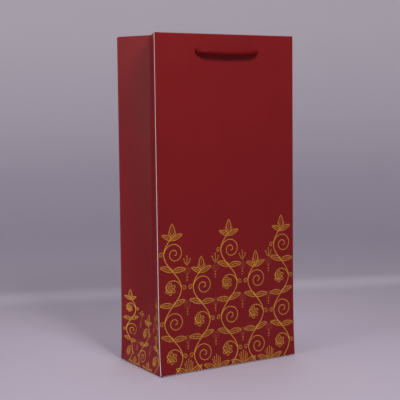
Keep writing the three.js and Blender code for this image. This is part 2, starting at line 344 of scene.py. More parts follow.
def studio_paper():
    """Pale lilac-grey paper with painted light and shade: lighter near the bag and high on the wall, darker where it
    curves, and a painted highlight in a soft band across the floor behind the bag, where a fold would catch the
    light."""
    material = bpy.data.materials.new("studio_paper")
    nodes, links, shader = shader_nodes(material)
    place = nodes.new("ShaderNodeTexCoord")
    flat = nodes.new("ShaderNodeVectorMath")
    flat.operation = "MULTIPLY"
    flat.inputs[1].default_value = (1.0, 1.0, 0.0)
    reach = nodes.new("ShaderNodeVectorMath")
    reach.operation = "LENGTH"
    split = nodes.new("ShaderNodeSeparateXYZ")
    rise = nodes.new("ShaderNodeMath")
    rise.operation = "MULTIPLY_ADD"
    rise.inputs[1].default_value = 1.6
    # Painted light and shade: the paper runs from light near the bag, to darker where it curves, to light high on the
    # wall.
    shade = nodes.new("ShaderNodeValToRGB")
    stops = ((0.0, (0.55, 0.492, 0.60)), (0.085, (0.44, 0.394, 0.475)), (0.15, (0.385, 0.345, 0.423)),
             (0.24, (0.375, 0.338, 0.415)), (0.43, (0.46, 0.415, 0.505)), (0.57, (0.60, 0.55, 0.635)),
             (0.74, (0.71, 0.67, 0.73)), (1.0, (0.77, 0.73, 0.79)))
    shade.color_ramp.elements[0].color = (*stops[0][1], 1)
    shade.color_ramp.elements[1].color = (*stops[-1][1], 1)
    for position, colour in stops[1:-1]:
        shade.color_ramp.elements.new(position).color = (*colour, 1)
    scale = nodes.new("ShaderNodeMath")
    scale.operation = "MULTIPLY"
    scale.inputs[1].default_value = 1 / 4.0
    links.new(place.outputs["Object"], flat.inputs[0])
    links.new(flat.outputs["Vector"], reach.inputs[0])
    links.new(place.outputs["Object"], split.inputs["Vector"])
    links.new(split.outputs["Z"], rise.inputs[0])
    links.new(reach.outputs["Value"], rise.inputs[2])
    links.new(rise.outputs["Value"], scale.inputs[0])
    links.new(scale.outputs["Value"], shade.inputs["Fac"])
    # Painted highlight: a soft paler band across the flat floor behind the bag, as if a fold there caught the light.
    across = nodes.new("ShaderNodeVectorMath")
    across.operation = "DOT_PRODUCT"
    across.inputs[1].default_value = (0.330, 0.944, 0.0)
    beside = nodes.new("ShaderNodeMapRange")
    beside.inputs["From Min"].default_value = painted_fold_line - painted_fold_reach
    beside.inputs["From Max"].default_value = painted_fold_line + painted_fold_reach
    fold = nodes.new("ShaderNodeValToRGB")
    fold.color_ramp.interpolation = "EASE"
    fold.color_ramp.elements[0].color = (0.0, 0.0, 0.0, 1)
    fold.color_ramp.elements[1].color = (0.0, 0.0, 0.0, 1)
    fold.color_ramp.elements.new(0.5).color = (1.0, 1.0, 1.0, 1)
    painted_fold_highlight = nodes.new("ShaderNodeMix")
    painted_fold_highlight.data_type = "RGBA"
    painted_fold_highlight.inputs["B"].default_value = (0.62, 0.57, 0.65, 1)
    strength = nodes.new("ShaderNodeMath")
    strength.operation = "MULTIPLY"
    strength.inputs[1].default_value = 0.5
    links.new(place.outputs["Object"], across.inputs[0])
    links.new(across.outputs["Value"], beside.inputs["Value"])
    links.new(beside.outputs["Result"], fold.inputs["Fac"])
    links.new(fold.outputs["Color"], strength.inputs[0])
    links.new(strength.outputs["Value"], painted_fold_highlight.inputs["Factor"])
    links.new(shade.outputs["Color"], painted_fold_highlight.inputs["A"])
    links.new(painted_fold_highlight.outputs["Result"], shader.inputs["Base Color"])
    shader.inputs["Roughness"].default_value = 0.6
    return material


sweep = studio_sweep()
sweep.data.materials.append(studio_paper())
soft_light("key_light", (-0.11, -0.72, 0.81), (0, 0, 0.2), (0.22, 0.22), 5.4, (1.0, 0.985, 0.97))
soft_light("left_light", (-1.60, -0.15, 0.55), (0, 0, 0.16), (0.7, 0.7), 9.4, (1.0, 0.985, 0.97))
soft_light("overhead_light", (0.0, 0.4, 2.1), (0, 0.4, 0), (2.0, 2.0), 16.0, (1.0, 0.985, 0.97))
world = bpy.data.worlds.new("studio_air")
bpy.context.scene.world = world
world.use_nodes = True
world.node_tree.nodes["Background"].inputs["Color"].default_value = (0.92, 0.91, 1.0, 1)
world.node_tree.nodes["Background"].inputs["Strength"].default_value = 0.13
bpy.context.scene.view_settings.view_transform = "Standard"


# The base board: a loose 1.5 mm grey board with rounded corners, dropped on the base flaps. Four
# flaps of the printed sheet, two long and two short, are folded in under it and glued.
paper_thickness = 0.0004


def paper_grain_group():
    """Paper fibre and mottling: a tint that varies over the sheet, a roughness and a bump height."""
    group = bpy.data.node_groups.new("paper_grain", "ShaderNodeTree")
    sockets = group.interface
    colour_in = sockets.new_socket("Color", in_out="INPUT", socket_type="NodeSocketColor")
    colour_in.default_value = (0.5, 0.5, 0.5, 1)
    for name, value in (("Mottle", 0.1), ("Fibre Scale", 900.0), ("Roughness", 0.5), ("Relief", 0.3)):
        socket = sockets.new_socket(name, in_out="INPUT", socket_type="NodeSocketFloat")
        socket.default_value = value
    sockets.new_socket("Color", in_out="OUTPUT", socket_type="NodeSocketColor")
    sockets.new_socket("Roughness", in_out="OUTPUT", socket_type="NodeSocketFloat")
    sockets.new_socket("Height", in_out="OUTPUT", socket_type="NodeSocketFloat")
    nodes = group.nodes
    links = group.links
    inside = nodes.new("NodeGroupInput")
    outside = nodes.new("NodeGroupOutput")
    place = nodes.new("ShaderNodeTexCoord")
    broad = nodes.new("ShaderNodeTexNoise")
    broad.inputs["Scale"].default_value = 26.0
    broad.inputs["Detail"].default_value = 5.0
    fibre = nodes.new("ShaderNodeTexNoise")
    fibre.inputs["Detail"].default_value = 6.0
    fibre.inputs["Roughness"].default_value = 0.62
    fibre.inputs["Distortion"].default_value = 0.7
    shade = nodes.new("ShaderNodeMapRange")
    shade.inputs["From Min"].default_value = 0.3
    shade.inputs["From Max"].default_value = 0.7
    shade.inputs["To Min"].default_value = -1.0
    blend = nodes.new("ShaderNodeMath")
    blend.operation = "ADD"
    half = nodes.new("ShaderNodeMath")
    half.operation = "MULTIPLY"
    half.inputs[1].default_value = 0.5
    gain = nodes.new("ShaderNodeMath")
    gain.operation = "MULTIPLY_ADD"
    gain.inputs[2].default_value = 1.0
    scaled = nodes.new("ShaderNodeVectorMath")
    scaled.operation = "SCALE"
    rough = nodes.new("ShaderNodeMath")
    rough.operation = "MULTIPLY"
    relief = nodes.new("ShaderNodeMath")
    relief.operation = "MULTIPLY"
    links.new(place.outputs["Object"], broad.inputs["Vector"])
    links.new(place.outputs["Object"], fibre.inputs["Vector"])
    links.new(inside.outputs["Fibre Scale"], fibre.inputs["Scale"])
    links.new(broad.outputs["Fac"], blend.inputs[0])
    links.new(fibre.outputs["Fac"], blend.inputs[1])
    links.new(blend.outputs["Value"], half.inputs[0])
    links.new(half.outputs["Value"], shade.inputs["Value"])
    links.new(shade.outputs["Result"], gain.inputs[0])
    links.new(inside.outputs["Mottle"], gain.inputs[1])
    links.new(inside.outputs["Color"], scaled.inputs[0])
    links.new(gain.outputs["Value"], scaled.inputs["Scale"])
    links.new(scaled.outputs["Vector"], outside.inputs["Color"])
    links.new(inside.outputs["Roughness"], rough.inputs[0])
    links.new(gain.outputs["Value"], rough.inputs[1])
    links.new(rough.outputs["Value"], outside.inputs["Roughness"])
    links.new(fibre.outputs["Fac"], relief.inputs[0])
    links.new(inside.outputs["Relief"], relief.inputs[1])
    links.new(relief.outputs["Value"], outside.inputs["Height"])
    return group


paper_grain = paper_grain_group()


def grained(material, colour, mottle, scale, roughness, relief, depth):
    """Puts the paper grain into a material and returns its node."""
    nodes, links, shader = shader_nodes(material)
    grain = nodes.new("ShaderNodeGroup")
    grain.node_tree = paper_grain
    grain.inputs["Color"].default_value = (*colour, 1)
    grain.inputs["Mottle"].default_value = mottle
    grain.inputs["Fibre Scale"].default_value = scale
    grain.inputs["Roughness"].default_value = roughness
    grain.inputs["Relief"].default_value = relief
    bump = nodes.new("ShaderNodeBump")
    bump.inputs["Strength"].default_value = 0.35
    bump.inputs["Distance"].default_value = depth
    links.new(grain.outputs["Color"], shader.inputs["Base Color"])
    links.new(grain.outputs["Roughness"], shader.inputs["Roughness"])
    links.new(grain.outputs["Height"], bump.inputs["Height"])
    links.new(bump.outputs["Normal"], shader.inputs["Normal"])
    return grain


grey_card = bpy.data.materials.new("grey_card")
grained(grey_card, (0.52, 0.49, 0.44), 0.16, 620.0, 0.88, 1.0, 0.00025)
white_paper = bpy.data.materials.new("white_paper")
grained(white_paper, (0.76, 0.745, 0.72), 0.05, 1100.0, 0.82, 1.0, 0.0001)


def printed_paper_material():
    """Crimson ink under a satin film outside, bare white paper inside and on the cut edges. The crimson turns paler
    where the print is scuffed at the creases, and low on the sides near their corners, where a reflection is painted
    in.
    """
    material = bpy.data.materials.new("printed_paper")
    grain = grained(material, (0.192, 0.0082, 0.0098), 0.06, 1300.0, 0.40, 0.6, 0.00006)
    nodes, links, shader = shader_nodes(material)
    bare = nodes.new("ShaderNodeAttribute")
    bare.attribute_name = "bare"
    wear_and_reflection = nodes.new("ShaderNodeAttribute")
    wear_and_reflection.attribute_name = "crease"
    rub = nodes.new("ShaderNodeTexNoise")
    rub.inputs["Scale"].default_value = 420.0
    rub.inputs["Detail"].default_value = 3.0
    place = nodes.new("ShaderNodeTexCoord")
    # The crease attribute, broken up by noise, marks scuffed print and, low on the sides, a painted reflection; both
    # paint the crimson paler.
    rub_and_reflection_mask = nodes.new("ShaderNodeMath")
    rub_and_reflection_mask.operation = "MULTIPLY"
    rub_and_reflection_tint = nodes.new("ShaderNodeMix")
    rub_and_reflection_tint.data_type = "RGBA"
    rub_and_reflection_tint.inputs["B"].default_value = (0.30, 0.045, 0.05, 1)
    white = nodes.new("ShaderNodeMix")
    white.data_type = "RGBA"
    white.inputs["B"].default_value = (0.76, 0.745, 0.72, 1)
    matt = nodes.new("ShaderNodeMix")
    matt.inputs["B"].default_value = 0.82
    film = nodes.new("ShaderNodeMath")
    film.operation = "MULTIPLY_ADD"
    film.inputs[1].default_value = -0.05
    film.inputs[2].default_value = 0.05
    links.new(place.outputs["Object"], rub.inputs["Vector"])
    links.new(rub.outputs["Fac"], rub_and_reflection_mask.inputs[0])
    links.new(wear_and_reflection.outputs["Fac"], rub_and_reflection_mask.inputs[1])
    links.new(rub_and_reflection_mask.outputs["Value"], rub_and_reflection_tint.inputs["Factor"])
    links.new(grain.outputs["Color"], rub_and_reflection_tint.inputs["A"])
    links.new(rub_and_reflection_tint.outputs["Result"], white.inputs["A"])
    links.new(bare.outputs["Fac"], white.inputs["Factor"])
    links.new(white.outputs["Result"], shader.inputs["Base Color"])
    links.new(grain.outputs["Roughness"], matt.inputs["A"])
    links.new(bare.outputs["Fac"], matt.inputs["Factor"])
    links.new(matt.outputs["Result"], shader.inputs["Roughness"])
    links.new(bare.outputs["Fac"], film.inputs[0])
    links.new(film.outputs["Value"], shader.inputs["Coat Weight"])
    shader.inputs["Coat Roughness"].default_value = 0.3
    shader.inputs["Specular IOR Level"].default_value = 0.15
    return material


printed_paper = printed_paper_material()


def paper_sheet(name, columns, rows, surface, bare_outside=False, crease=None, thickness=paper_thickness,
                cut=(), lined_from=1.0):
    """A sheet of paper with real thickness. surface(u, v) gives a point of its outer side for each
    column u and row v; looking at that side, u runs to the right and v runs up. The inner side is
    bare paper up to the row lined_from, and so are the edges named in cut. crease(u, v) says how
    much the print is scuffed, and on the sides also where a painted reflection makes it paler."""
    mesh = bmesh.new()
    # Per vertex: how scuffed the print is, and on the sides where a painted reflection makes it paler.
    wear_and_reflection = mesh.verts.layers.float.new("crease")
    bare = mesh.faces.layers.float.new("bare")
    across = len(columns)
    tall = len(rows)
    points = [[Vector(surface(u, v)) for u in columns] for v in rows]
    outer = []
    inner = []
    for j in range(tall):
        outer_row = []
        inner_row = []
        for i in range(across):
            along = points[j][min(i + 1, across - 1)] - points[j][max(i - 1, 0)]
            up = points[min(j + 1, tall - 1)][i] - points[max(j - 1, 0)][i]
            normal = along.cross(up).normalized()
            for row, place in ((outer_row, points[j][i]), (inner_row, points[j][i] - normal * thickness)):
                vert = mesh.verts.new(place)
                vert[wear_and_reflection] = crease(columns[i], rows[j]) if crease else 0.0
                row.append(vert)
        outer.append(outer_row)
        inner.append(inner_row)

    def face(corners, is_bare):
        made = mesh.faces.new(corners)
        made[bare] = 1.0 if is_bare else 0.0
        made.smooth = True

    for j in range(tall - 1):
        for i in range(across - 1):
            face((outer[j][i], outer[j][i + 1], outer[j + 1][i + 1], outer[j + 1][i]), bare_outside)
            face((inner[j][i], inner[j + 1][i], inner[j + 1][i + 1], inner[j][i + 1]),
                 rows[j] < lined_from)
    for j in range(tall - 1):
        face((outer[j][0], outer[j + 1][0], inner[j + 1][0], inner[j][0]), "left" in cut)
        face((outer[j][-1], inner[j][-1], inner[j + 1][-1], outer[j + 1][-1]), "right" in cut)
    for i in range(across - 1):
        face((outer[0][i], inner[0][i], inner[0][i + 1], outer[0][i + 1]), "bottom" in cut)
        face((outer[-1][i], outer[-1][i + 1], inner[-1][i + 1], inner[-1][i]), "top" in cut)
    for row in (0, tall - 1):
        for i in range(across - 1):
            mesh.edges.get((outer[row][i], outer[row][i + 1])).smooth = False
            mesh.edges.get((inner[row][i], inner[row][i + 1])).smooth = False
    for column in (0, across - 1):
        for j in range(tall - 1):
            mesh.edges.get((outer[j][column], outer[j + 1][column])).smooth = False
            mesh.edges.get((inner[j][column], inner[j + 1][column])).smooth = False
    data = bpy.data.meshes.new(name)
    mesh.to_mesh(data)
    mesh.free()
    return add_piece(name, data)


def spread(low, high, count, finer=()):
    """Evenly spaced values from low to high, with extra ones between."""
    values = {round(low + (high - low) * k / count, 7) for k in range(count + 1)}
    values.update(round(value, 7) for value in finer if low < value < high)
    return sorted(values)


def flat_sheet(name, outline, bottom, thickness, corner, printed_below):
    """A flat piece of board or paper with rounded corners and slightly rolled edges."""
    mesh = bmesh.new()
    bare = mesh.faces.layers.float.new("bare")
    rim = []
    count = len(outline)
    for k in range(count):
        here = Vector(outline[k])
        before = (Vector(outline[k - 1]) - here).normalized() * corner
        after = (Vector(outline[(k + 1) % count]) - here).normalized() * corner
        for j in range(7):
            t = j / 6
            rim.append(here + before * (1 - t) ** 2 + after * t ** 2)
    roll = min(0.0003, thickness * 0.3)
    middle = sum(rim, Vector((0.0, 0.0))) / len(rim)
    rings = []
    for height, inset in ((0.0, roll), (roll, 0.0), (thickness - roll, 0.0), (thickness, roll)):
        ring = []
        for point in rim:
            place = point - (point - middle).normalized() * inset
            ring.append(mesh.verts.new((place.x, place.y, bottom + height)))
        rings.append(ring)
    size = len(rim)
    for low, high in zip(rings, rings[1:]):
        for k in range(size):
            mesh.faces.new((low[k], low[(k + 1) % size], high[(k + 1) % size], high[k]))[bare] = 1.0
    mesh.faces.new(list(reversed(rings[0])))[bare] = 0.0 if printed_below else 1.0
    mesh.faces.new(rings[-1])[bare] = 1.0
    data = bpy.data.meshes.new(name)
    mesh.to_mesh(data)
    mesh.free()
    return add_piece(name, data)


flap_slope = 0.014
for face, side in (("front", -1), ("back", 1)):
    low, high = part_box(face + "_base_flap")
    hinge_y = low.y if side < 0 else high.y
    free_y = high.y if side < 0 else low.y
    outline = [(low.x, hinge_y), (high.x, hinge_y), (high.x - flap_slope, free_y), (low.x + flap_slope, free_y)]
    if side > 0:
        outline.reverse()
    flap = flat_sheet(face + "_base_fold", outline, low.z, paper_thickness, 0.003, True)
    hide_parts(face + "_base_flap")
    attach(finish_piece(flap, printed_paper), "base")
for face, side in (("left", -1), ("right", 1)):
    low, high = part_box(face + "_end_flap")
    tuck = 0.0014
    near = low.x + tuck if side < 0 else high.x - tuck
    far = high.x if side < 0 else low.x
    outline = [(near, low.y), (far, low.y + 0.012), (far, high.y - 0.012), (near, high.y)]
    if side > 0:
        outline.reverse()
    flap = flat_sheet(face + "_base_fold", outline, low.z, paper_thickness, 0.003, True)
    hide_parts(face + "_end_flap")
    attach(finish_piece(flap, printed_paper), "base")
low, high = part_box("base_board")
board_edge = 0.0012
outline = [(low.x + board_edge, low.y + board_edge), (high.x - board_edge, low.y + board_edge),
           (high.x - board_edge, high.y - board_edge), (low.x + board_edge, high.y - board_edge)]
board = flat_sheet("base_card", outline, low.z, high.z - low.z, 0.003, False)
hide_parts("base_board")
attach(finish_piece(board, grey_card), "base")


# The front and back panels: the two broad faces of the printed sheet. They are creased in at the
# foot, bow out a little half-way up and stand flat at the mouth, where a card stiffens them.
rounding = 0.0007
foot_rounding = 0.0028
mouth_roll = 0.00165
corner_roll = 0.00045
card_low, card_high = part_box("front_card")


def ease(low, high, value):
    """A smooth step from 0 at low to 1 at high."""
    t = min(1.0, max(0.0, (value - low) / (high - low)))
    return t * t * (3 - 2 * t)


def half_depth(z):
    """How far the front stands from the middle of the bag at a height."""
    return half_base_depth - 0.00325 * (1 - math.exp(-z / 0.028)) - 0.0011 * z / bag_height


def roll_radius(x):
    """The mouth is rolled over its card, and over paper alone near its corners."""
    return mouth_roll + (corner_roll - mouth_roll) * ease(card_high.x - 0.001, half_width - 0.0015, abs(x))


def crease_round(distance, radius=rounding):
    """How far the outer side has turned in at a distance from a crease."""
    if distance >= radius:
        return 0.0
    return radius - math.sqrt(max(0.0, radius ** 2 - (radius - distance) ** 2))


def swell(x, z):
    """The sheet's bow, its faint waves, and the step where the card behind it ends."""
    rise = ease(0.015, 0.12, z) * (1 - ease(0.24, 0.333, z))
    across = max(0.0, math.cos(math.pi * x / (2 * half_width)))
    bow = 0.0014 * rise * across
    waves = 0.00016 * math.sin(34 * z + 9 * x) * math.sin(21 * x + 1.3) * rise
    card = 0.0001 * ease(-0.0012, 0.0012, z - card_low.z)
    card *= 1 - ease(card_high.x - 0.001, card_high.x + 0.001, abs(x))
    return bow + (waves + card) * min(1.0, across * 6)


def face_out(x, z):
    """The distance of the panel's outer side from the middle of the bag."""
    return half_depth(z) + swell(x, z) - crease_round(z, foot_rounding)


def cut_edge(z):
    """Width of the raw white edge where the sheet ends at the front left corner."""
    return 0.00042 - 0.00022 * ease(0.03, 0.30, z)


def punch_cord_holes(piece, facing):
    """Punches the two round holes through a layer of the mouth."""
    hole_radius = 0.003
    punches = []
    for sign in (-1, 1):
        mesh = bmesh.new()
        bmesh.ops.create_cone(mesh, cap_ends=True, segments=32, radius1=hole_radius, radius2=hole_radius,
                              depth=0.02)
        data = bpy.data.meshes.new("punch")
        mesh.to_mesh(data)
        mesh.free()
        punch = add_piece("punch", data)
        punch.matrix_world = (Matrix.Translation((sign * hole_x, facing * face_at_hole, hole_z))
                              @ Matrix.Rotation(math.pi / 2, 4, "X"))
        cut = piece.modifiers.new("hole", "BOOLEAN")
        cut.operation = "DIFFERENCE"
        cut.solver = "EXACT"
        cut.object = punch
        punches.append(punch)
    bpy.context.view_layer.update()
    seen = piece.evaluated_get(bpy.context.evaluated_depsgraph_get())
    cut_mesh = bpy.data.meshes.new_from_object(seen)
    piece.modifiers.clear()
    piece.data = cut_mesh
    for punch in punches:
        bpy.data.objects.remove(punch)
    return piece


near_crease = [0.0, 0.00008, 0.0002, 0.0004, 0.0007, 0.0012, 0.002, 0.0035]
panel_columns = spread(-half_width, half_width, 60,
                       [s * (half_width - d) for d in near_crease for s in (-1, 1)]
                       + [s * (card_high.x + d) for d in (-0.001, 0, 0.001) for s in (-1, 1)])
panel_rows = spread(0.0, 1.0, 100, [d / bag_height for d in near_crease]
                    + [(card_low.z + d) / (bag_height - mouth_roll) for d in (-0.0012, -0.0006, 0, 0.0006, 0.0012)])


def panel_surface(facing, raw_edge):
    """The outer side of the front or back; the front's left edge is cut, and the others are creased."""
    def surface(u, v):
        x = u
        z = v * (bag_height - roll_radius(x))
        turned = crease_round(half_width - abs(x))
        if raw_edge and x < 0:
            turned = 0.0
            x = x + cut_edge(z) * max(0.0, 1 - (half_width + x) / 0.004)
        x_world = -facing * x
        return (x_world, facing * (face_out(x, z) - turned), z)
    return surface


def panel_wear(u, v):
    """The print is scuffed along the creases and at the foot."""
    side = math.exp(-((half_width - abs(u)) / 0.0007) ** 2)
    foot = math.exp(-(v * bag_height / 0.0007) ** 2)
    return 0.75 * max(side, foot)


for face, facing in (("front", -1), ("back", 1)):
    panel = paper_sheet(face + "_side", panel_columns, panel_rows,
                        panel_surface(facing, face == "front"), crease=panel_wear)
    punch_cord_holes(panel, facing)
    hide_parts(face + "_panel")
    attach(finish_piece(panel, printed_paper), face)


# The raw edge: the sheet ends at the front left corner, where its printed film is trimmed back and
# a thin white line of bare paper shows from the foot to the mouth.
cut_depth = 0.0003


def raw_edge_surface(u, v):
    z = v * (bag_height - corner_roll)
    width = cut_edge(z)
    return (-half_width + width * u, -(half_depth(z) - crease_round(z, foot_rounding)) + cut_depth * (1 - u), z)


raw_edge = paper_sheet("front_raw_edge", [0.0, 0.5, 1.0], spread(0.0, 1.0, 90, [d / bag_height for d in near_crease]),
                       raw_edge_surface, bare_outside=True, thickness=0.0003)
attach(finish_piece(raw_edge, printed_paper), "front")


# The seam flap: a strip of the sheet's other end, glued behind the front beside the left corner.
seam_low, seam_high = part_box("seam_flap")


def seam_surface(u, v):
    return (u, -(half_depth(v) + swell(u, v)) + 0.0007, v)


seam = paper_sheet("seam_strip", spread(seam_low.x, seam_high.x, 6), spread(seam_low.z, seam_high.z, 80),
                   seam_surface, bare_outside=True)
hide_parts("seam_flap")
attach(finish_piece(seam, printed_paper), "front")


# The sides: each is creased down its middle and folds inwards, so that the bag lies flat. A flat
# triangle at its foot leans in with it, and stays put on the base when the mouth is drawn together.
foot_tip = 0.082


def crease_in(z):
    """How far the middle crease has come in; each half of a side keeps its full width."""
    return math.sqrt(half_base_depth ** 2 - half_depth(z) ** 2)


def foot_reach(z):
    return half_base_depth * max(0.0, 1 - z / foot_tip)


def foot_in(z):
    return crease_in(foot_tip) * min(z, foot_tip) / foot_tip


lap_depth = 0.0008
lap_width = 0.0016
lap_share = lap_width / half_base_depth
foot_lap = 0.020


def side_point(along, z, laps=False):
    """A point of the left side's front half as (inwards, forwards): along is 0 at the corner and 1
    at the middle crease or at the slanting crease of the foot. Past 1 it laps behind the back half."""
    corner = half_depth(z) - rounding
    reach = foot_reach(z)
    inwards = foot_in(z) if z < foot_tip else crease_in(z)
    forwards = corner + (reach - corner) * along
    depth_in = inwards * along
    if z >= foot_tip - 0.02:
        soft = 0.0026
        near = soft - (forwards - reach)
        if near > 0:
            depth_in -= 0.23 * near ** 2 / (2 * soft) * ease(foot_tip - 0.02, foot_tip + 0.03, z)
    if along > 1 and z < foot_tip:
        past = (along - 1) / lap_share * min(foot_lap, 0.98 * reach + 0.00005) * ease(0.006, 0.02, z)
        forwards = reach - past
        depth_in = inwards * (corner - forwards) / (corner - reach) + min(0.0005, past)
    elif along > 1 and laps:
        past = (along - 1) * half_base_depth
        forwards = reach - past
        depth_in = inwards + min(lap_depth, past) - 0.5 * past
    belly = 0.0005 * math.sin(math.pi * min(1, along)) * ease(0.05, 0.16, z) * (1 - ease(0.25, 0.34, z))
    return depth_in - belly, forwards


side_alongs = spread(0.0, 1.0, 18, [0.93, 0.95, 0.96, 0.97, 0.98, 0.99])
lap_alongs = side_alongs + [1.0 + lap_share * part for part in (0.1, 0.4, 1.0)]
side_hem_low, side_hem_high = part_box("left_hem_front")
side_rows = spread(0.0018, bag_height - corner_roll, 96, [foot_tip, 0.003, side_hem_low.z + 0.0003])


def side_surface(side, facing):
    def surface(u, v):
        along = 1 - u if side * facing > 0 else u
        if along > 1 and v >= foot_tip:
            width = ease(foot_tip - 0.001, foot_tip + 0.012, v) if facing < 0 else 0.0
            along = 1 + (along - 1) * max(0.03, width)
        inwards, forwards = side_point(along, v, facing < 0)
        return (side * (half_width - inwards), facing * forwards, v)
    return surface


# How scuffed the print is at the creases, plus a painted reflection low on each side half near its corner.
def side_wear_and_reflection(side, facing):
    def rub_and_reflection(u, v):
        along = 1 - u if side * facing > 0 else u
        crease = 0.35 * math.exp(-((1 - along) / 0.02) ** 2) + 0.5 * math.exp(-(along / 0.015) ** 2)
        # Painted reflection: the lower part of each side half near its corner is made paler, standing in for the
        # floor reflected at a grazing angle.
        painted_reflection = 0.16 * math.exp(-((along - 0.1) / 0.16) ** 2) * (1 - ease(0.05, 0.26, v))
        return crease + painted_reflection
    return rub_and_reflection


for side_name, side in (("left", -1), ("right", 1)):
    for face, facing in (("front", -1), ("back", 1)):
        alongs = lap_alongs
        if side * facing > 0:
            alongs = [1 - along for along in reversed(alongs)]
        skin = paper_sheet(f"{side_name}_{face}_side_half", alongs, side_rows,
                           side_surface(side, facing), crease=side_wear_and_reflection(side, facing),
                           lined_from=side_hem_low.z + 0.0003)
        finish_piece(skin, printed_paper)
        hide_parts(f"{side_name}_gusset_{face}")
        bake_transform(skin)


def foot_surface(side):
    """The foot triangle; the halves above it run on a little way behind its two slopes."""
    def surface(u, v):
        y = foot_reach(v) * u * side
        inwards = foot_in(v) + crease_round(v, foot_rounding)
        return (side * (half_width - inwards), y, v)
    return surface


for side_name, side in (("left", -1), ("right", 1)):
    foot = paper_sheet(side_name + "_side_foot", spread(-1.0, 1.0, 30),
                       spread(0.0, foot_tip - 0.0002, 40, near_crease), foot_surface(side))
    finish_piece(foot, printed_paper)
    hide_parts(side_name + "_foot")
    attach(foot, "base")


# The mouth: the sheet is turned in over a card on the front and back, and over itself on the
# sides, and glued down inside. The fold is a soft roll and shows the print inside the mouth.
hem_low, hem_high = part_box("front_hem")
hem_steps = 12


def hem_profile(radius, share):
    """Along the hem from its outer start, over the roll and down: (depth, height above the roll)."""
    if share <= 1.0:
        turn = math.pi * share
        return radius * (1 - math.cos(turn)), radius * math.sin(turn)
    drop = (bag_height - radius - hem_low.z) * (share - 1.0)
    return 2 * radius, -drop


hem_rows = [k / hem_steps for k in range(hem_steps + 1)] + [1.0 + 0.1 * k for k in range(1, 11)]


def hem_surface(facing):
    def surface(u, v):
        radius = roll_radius(u)
        depth, rise = hem_profile(radius, v)
        z = bag_height - radius + rise
        return (-facing * u, facing * (face_out(u, z) - depth), z)
    return surface


hem_columns = spread(-half_width + 0.0012, half_width - 0.0012, 50,
                     [s * (card_high.x + d) for d in (0, 0.002, 0.004, 0.006) for s in (-1, 1)])
for face, facing in (("front", -1), ("back", 1)):
    hem = paper_sheet(face + "_mouth_hem", hem_columns, hem_rows, hem_surface(facing), cut=("top",))
    punch_cord_holes(hem, facing)
    finish_piece(hem, printed_paper)
    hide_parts(face + "_hem")
    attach(hem, face)
    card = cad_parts[face + "_card"]
    card.material_slots[0].material = grey_card


def side_hem_surface(side, facing):
    def surface(u, v):
        along = 1 - u if side * facing > 0 else u
        depth, rise = hem_profile(corner_roll, v)
        z = bag_height - corner_roll + rise
        inwards, forwards = side_point(along, z)
        lean = math.acos(min(1.0, half_depth(z) / half_base_depth))
        return (side * (half_width - inwards - depth * math.cos(lean)),
                facing * (forwards + depth * math.sin(lean)), z)
    return surface


for side_name, side in (("left", -1), ("right", 1)):
    for face, facing in (("front", -1), ("back", 1)):
        alongs = spread(0.008, 0.945, 16) if side * facing > 0 else spread(0.055, 0.992, 16)
        hem = paper_sheet(f"{side_name}_{face}_mouth_hem", alongs, hem_rows,
                          side_hem_surface(side, facing), cut=("top",))
        finish_piece(hem, printed_paper)
        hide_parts(f"{side_name}_hem_{face}")
        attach(hem, f"{side_name}_{face}_gusset")


# The print: gold ink in a plain repeat of swaying vines, laid on the crimson sheet before it is
# folded. The vines are in turn tall and short, and stand on the lower part of all four faces.
def gold_material(name, colour, metallic, roughness):
    """Gold ink: fine metal flakes, a little uneven where the ink is thin."""
    material = bpy.data.materials.new(name)
    nodes, links, shader = shader_nodes(material)
    place = nodes.new("ShaderNodeTexCoord")
    flake = nodes.new("ShaderNodeTexNoise")
    flake.inputs["Scale"].default_value = 1500.0
    flake.inputs["Detail"].default_value = 3.0
    patch = nodes.new("ShaderNodeTexNoise")
    patch.inputs["Scale"].default_value = 60.0
    thin = nodes.new("ShaderNodeMix")
    thin.data_type = "RGBA"
    thin.inputs["A"].default_value = (*[0.72 * part for part in colour], 1)
    thin.inputs["B"].default_value = (*[min(1.0, 1.15 * part) for part in colour], 1)
    rough = nodes.new("ShaderNodeMapRange")
    rough.inputs["To Min"].default_value = roughness - 0.1
    rough.inputs["To Max"].default_value = roughness + 0.12
    bump = nodes.new("ShaderNodeBump")
    bump.inputs["Strength"].default_value = 0.2
    bump.inputs["Distance"].default_value = 0.00005
    links.new(place.outputs["Object"], flake.inputs["Vector"])
    links.new(place.outputs["Object"], patch.inputs["Vector"])
    links.new(patch.outputs["Fac"], thin.inputs["Factor"])
    links.new(thin.outputs["Result"], shader.inputs["Base Color"])
    links.new(flake.outputs["Fac"], rough.inputs["Value"])
    links.new(rough.outputs["Result"], shader.inputs["Roughness"])
    links.new(flake.outputs["Fac"], bump.inputs["Height"])
    links.new(bump.outputs["Normal"], shader.inputs["Normal"])
    shader.inputs["Metallic"].default_value = metallic
    return material


gold_ink = gold_material("gold_ink", (0.86, 0.45, 0.05), 0.35, 0.42)
pale_gold_ink = gold_material("pale_gold_ink", (0.40, 0.10, 0.04), 0.2, 0.5)


def smooth_line(points, step=0.9):
    """A smooth line through a few points of the flat drawing, which is in millimetres."""
    last = len(points) - 1
    line = []
    for k in range(last):
        p, q, r, s = (points[max(0, min(last, k + j))] for j in (-1, 0, 1, 2))
        count = max(2, int(math.dist(q, r) / step + 0.5))
        for j in range(count):
            t = j / count
            line.append(tuple(
                0.5 * (2 * q[i] + (r[i] - p[i]) * t + (2 * p[i] - 5 * q[i] + 4 * r[i] - s[i]) * t * t
                       + (3 * q[i] - p[i] - 3 * r[i] + s[i]) * t ** 3)
                for i in (0, 1)
            ))
    line.append(tuple(points[last]))
    return line


def stem(art, points, width=1.45):
    """A vine or stalk through a few points."""
    art.append((smooth_line(points), width))


